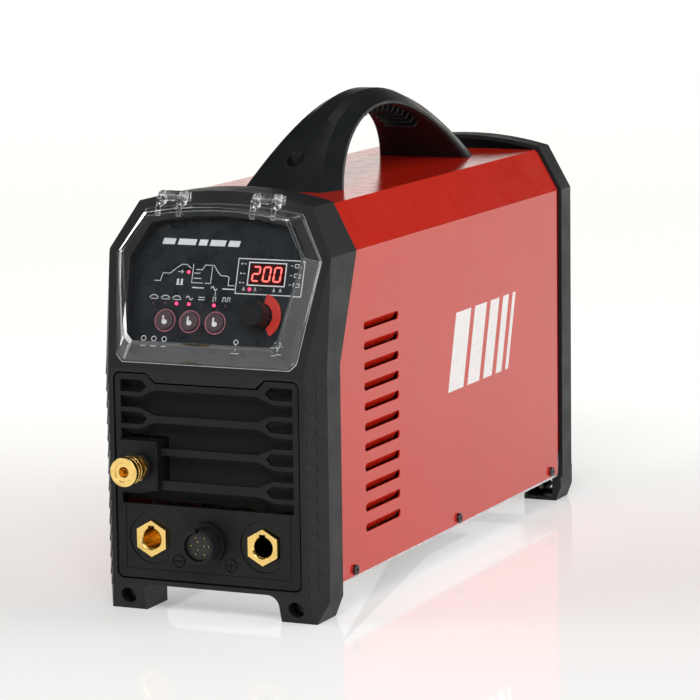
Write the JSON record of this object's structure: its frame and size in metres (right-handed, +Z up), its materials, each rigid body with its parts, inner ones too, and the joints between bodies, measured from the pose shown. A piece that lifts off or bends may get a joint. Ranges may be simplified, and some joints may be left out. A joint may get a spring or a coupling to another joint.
{
  "type": "inverter TIG welder",
  "caption": "Portable inverter TIG welder: red sheet case, black bezels, arched handle, clear lid over the controls, brass weld sockets, gas coupling and rear fan.",
  "frame": {"origin": "centre of the whole machine's box, on the plane that its feet stand on", "axes": "+X to the right seen from the front, +Y from the front to the back, +Z up"},
  "size_m": [0.1608, 0.5076, 0.3255],
  "materials": {
    "black_plastic": "fine moulded grain",
    "red_paint": "glossy powder coat",
    "zinc_sheet": "zinc plated sheet",
    "black_screws": "blackened steel",
    "filter_foam": "open foam",
    "brass": "turned",
    "spring_steel": "drawn wire",
    "fascia_film": "printed film",
    "circuit_board": "solder mask",
    "plated_steel": "nickel plated",
    "red_display": "lit red numerals",
    "led_red": "lit",
    "red_plastic": "moulded",
    "pale_plastic": "moulded",
    "button_plastic": "satin",
    "clear_plastic": "clear polycarbonate",
    "blue_hose": "extruded",
    "aluminium": "extruded",
    "capacitor_sleeve": "shrink sleeve",
    "ferrite": "pressed ferrite with tape",
    "copper": "copper"
  },
  "bodies": {
    "case": {"front_bezel": "black_plastic", "rear_bezel": "black_plastic", "top_cover": "red_paint", "base_pan": "zinc_sheet", "front_bulkhead": "zinc_sheet", "rear_panel": "black_plastic", "cover_screws": "black_screws", "bezel_screws": "black_screws", "handle": "black_plastic", "handle_screws": "black_screws", "front_panel": "black_plastic", "dust_filter": "filter_foam", "gas_boss": "black_plastic", "gas_coupling_body": "brass", "gas_coupling_spring": "spring_steel", "minus_collar": "black_plastic", "plus_collar": "black_plastic", "minus_socket": "brass", "plus_socket": "brass", "socket_nuts": "brass", "connector_shell": "black_plastic", "connector_insert": "black_plastic", "connector_pins": "brass", "control_fascia": "fascia_film", "control_board": "circuit_board", "board_standoffs": "plated_steel", "display_module": "red_display", "display_window": "red_display", "status_leds": "led_red", "knob_ring": "red_plastic", "encoder_bush": "plated_steel", "hinge_clips": "clear_plastic", "hinge_pins": "plated_steel", "fan_frame": "black_plastic", "fan_grille": "plated_steel", "fan_screws": "black_screws", "switch_body": "black_plastic", "cable_gland": "black_plastic", "gland_nut": "black_plastic", "gas_inlet": "brass", "gas_valve": "black_plastic", "gas_hose": "blue_hose", "power_board": "circuit_board", "heat_sinks": "aluminium", "capacitors": "capacitor_sleeve", "transformer": "ferrite", "output_choke": "copper", "ignition_coil": "ferrite", "busbars": "copper"},
    "lid": {"clear_cover": "clear_plastic", "hinge_arms": "clear_plastic"},
    "knob_plunger": {"encoder_plunger": "pale_plastic"},
    "knob": {"encoder_shaft": "plated_steel", "control_knob": "black_plastic"},
    "left_button": {"left_button": "button_plastic"},
    "middle_button": {"middle_button": "button_plastic"},
    "right_button": {"right_button": "button_plastic"},
    "fan": {"fan_rotor": "black_plastic"},
    "rocker": {"switch_rocker": "red_plastic"},
    "gas_sleeve": {"gas_coupling_sleeve": "brass"}
  },
  "joints": [
    {"name": "lid_hinge", "type": "hinge", "parent": "case", "child": "lid", "pos_m": [0, -0.19473, 0.2728], "axis": [-1, 0, 0], "range_deg": [0, 115]},
    {"name": "knob_push", "type": "slide", "parent": "case", "child": "knob_plunger", "axis": [0, 0.9494, -0.314], "range_m": [0, 0.0005], "stiffness_N_per_m": 900, "springref_m": -0.0005},
    {"name": "knob_turn", "type": "hinge", "parent": "knob_plunger", "child": "knob", "pos_m": [0.031, -0.21211, 0.19955], "axis": [0, 0.9494, -0.314], "continuous": true},
    {"name": "left_button_press", "type": "slide", "parent": "case", "child": "left_button", "axis": [0, 0.9494, -0.314], "range_m": [0, 0.0008], "stiffness_N_per_m": 700, "springref_m": -0.0006},
    {"name": "middle_button_press", "type": "slide", "parent": "case", "child": "middle_button", "axis": [0, 0.9494, -0.314], "range_m": [0, 0.0008], "stiffness_N_per_m": 700, "springref_m": -0.0006},
    {"name": "right_button_press", "type": "slide", "parent": "case", "child": "right_button", "axis": [0, 0.9494, -0.314], "range_m": [0, 0.0008], "stiffness_N_per_m": 700, "springref_m": -0.0006},
    {"name": "fan_spin", "type": "hinge", "parent": "case", "child": "fan", "pos_m": [0, 0.1938, 0.096], "axis": [0, 1, 0], "continuous": true},
    {"name": "rocker_tilt", "type": "hinge", "parent": "case", "child": "rocker", "pos_m": [0.042, 0.2238, 0.206], "axis": [-1, 0, 0], "range_deg": [0, 16]},
    {"name": "sleeve_pull", "type": "slide", "parent": "case", "child": "gas_sleeve", "axis": [0, 1, 0], "range_m": [0, 0.003], "stiffness_N_per_m": 800, "springref_m": -0.002, "deforming": ["gas_coupling_spring"]}
  ]
}
